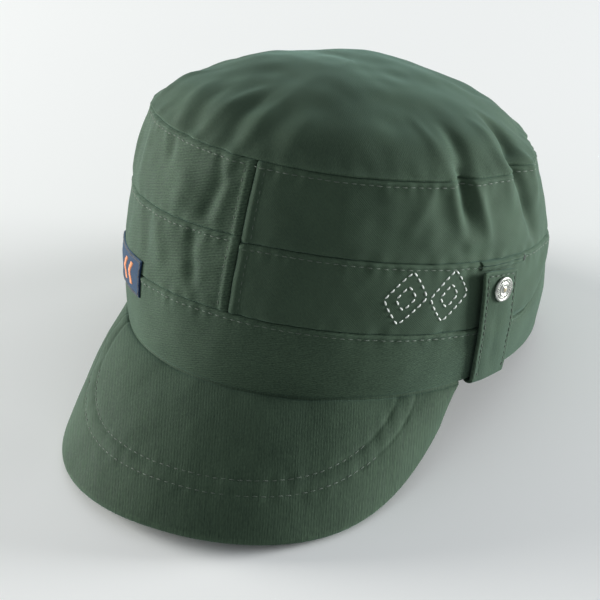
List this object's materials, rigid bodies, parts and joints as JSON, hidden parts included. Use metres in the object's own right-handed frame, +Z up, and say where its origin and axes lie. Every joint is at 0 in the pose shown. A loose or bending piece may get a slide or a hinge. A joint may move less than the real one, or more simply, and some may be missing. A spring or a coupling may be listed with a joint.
{
  "type": "military peaked cap",
  "caption": "Soft olive cadet cap with a tiered round crown, stiff cloth-covered peak, a press-stud side tab and a hook-and-loop strap over a half-moon back opening.",
  "frame": {"origin": "middle of the footprint on the table, with the cap resting on the peak's edge and the back of its band", "axes": "+Z up from the table, -Y toward the peak (front), +X toward the wearer's left; the cap's own upright axis leans back 12.75 degrees"},
  "size_m": [0.1826, 0.2652, 0.1401],
  "materials": {
    "olive_twill": "matte cotton twill, softly creased",
    "lining": "soft matte cotton",
    "seam_tape": "flat woven tape",
    "label": "tight satin weave",
    "hook_loop": "hook-and-loop tape",
    "stiffener": "smooth moulded sheet",
    "snap_metal": "slightly worn nickel plate"
  },
  "bodies": {
    "cap": {"crown_top": "olive_twill", "crown_seam_tape": "seam_tape", "upper_left_panel": "olive_twill", "upper_right_panel": "olive_twill", "mid_left_panel": "olive_twill", "mid_right_panel": "olive_twill", "front_seam_tape": "seam_tape", "back_seam_tape": "seam_tape", "lower_band": "olive_twill", "arch_facing": "olive_twill", "band_stiffener": "stiffener", "sweatband": "lining", "peak_top_cover": "olive_twill", "peak_board": "stiffener", "peak_underside": "olive_twill", "front_label": "label", "tab_welt_left": "olive_twill", "snap_stud_left": "snap_metal", "snap_washer_left": "snap_metal", "loop_strap": "olive_twill", "loop_patch": "hook_loop"},
    "left_tab": {"tab_left": "olive_twill", "snap_socket_left": "snap_metal", "snap_cap_left": "snap_metal"},
    "strap": {"hook_strap": "olive_twill", "hook_patch": "hook_loop"}
  },
  "joints": [
    {"name": "left_tab_swing", "type": "hinge", "parent": "cap", "child": "left_tab", "pos_m": [0.08333, 0.00307, 0.02537], "axis": [0.188, 0.958, -0.2168], "range_deg": [0, 110]},
    {"name": "strap_peel", "type": "hinge", "parent": "cap", "child": "strap", "pos_m": [0.0353, 0.11681, 0.01388], "axis": [-0.0706, 0.157, -0.9851], "range_deg": [0, 110]}
  ]
}
